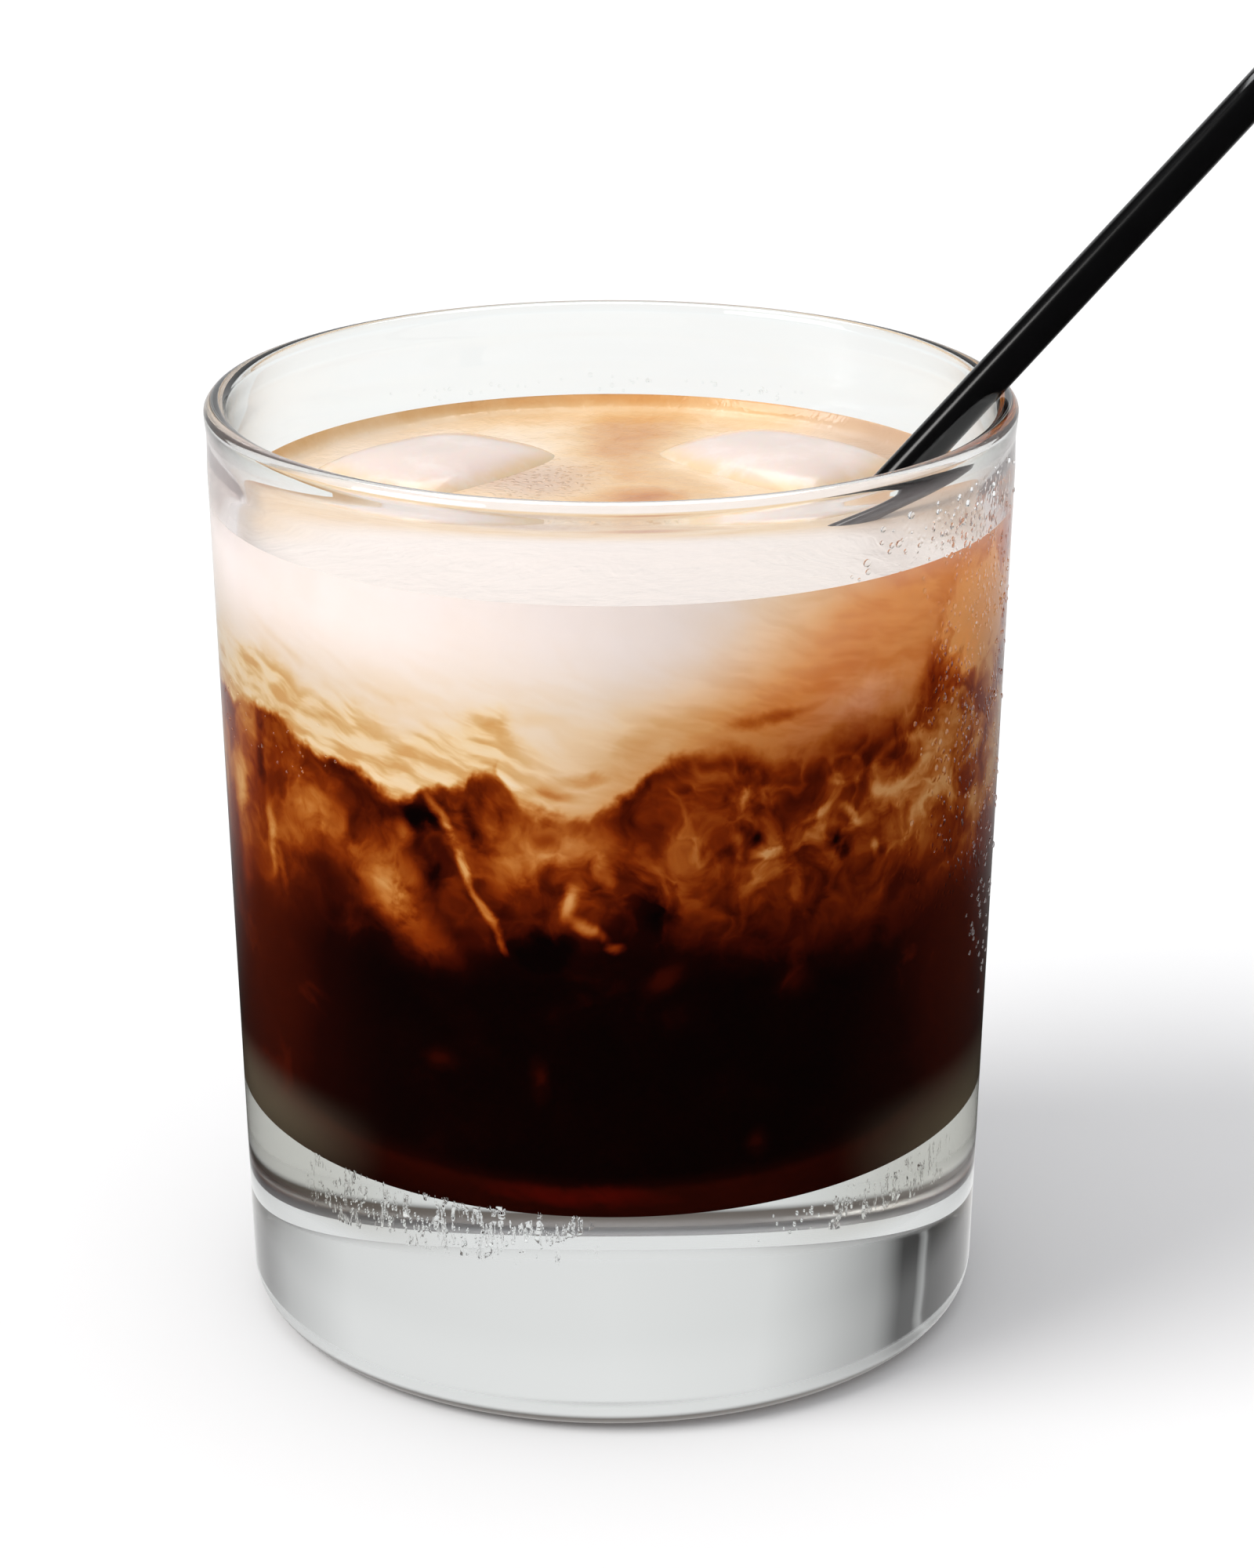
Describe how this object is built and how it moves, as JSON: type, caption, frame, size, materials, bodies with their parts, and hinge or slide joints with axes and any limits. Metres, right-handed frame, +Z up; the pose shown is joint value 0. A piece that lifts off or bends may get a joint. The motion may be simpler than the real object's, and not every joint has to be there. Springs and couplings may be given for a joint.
{
  "type": "white russian cocktail in a tumbler",
  "caption": "White russian served in a heavy-based tumbler: cream layered over coffee liqueur, ice breaking the surface, a black straw leaning on the rim.",
  "frame": {"origin": "centre of the glass's foot, on the table", "axes": "+Z up along the glass's axis, -Y the front of the drink, the straw leaning towards +X and a little towards +Y"},
  "size_m": [0.1199, 0.086, 0.1404],
  "materials": {
    "glass": "clear",
    "liqueur": "liquid",
    "mingled_coffee": "liquid",
    "cream": "liquid",
    "ice_left": "wet",
    "ice_right": "wet",
    "straw": "gloss"
  },
  "bodies": {
    "root": {"glass": "glass", "liqueur": "liqueur", "mingled_coffee": "mingled_coffee", "cream": "cream", "ice_left": "ice_left", "ice_right": "ice_right", "straw": "straw"}
  },
  "joints": []
}
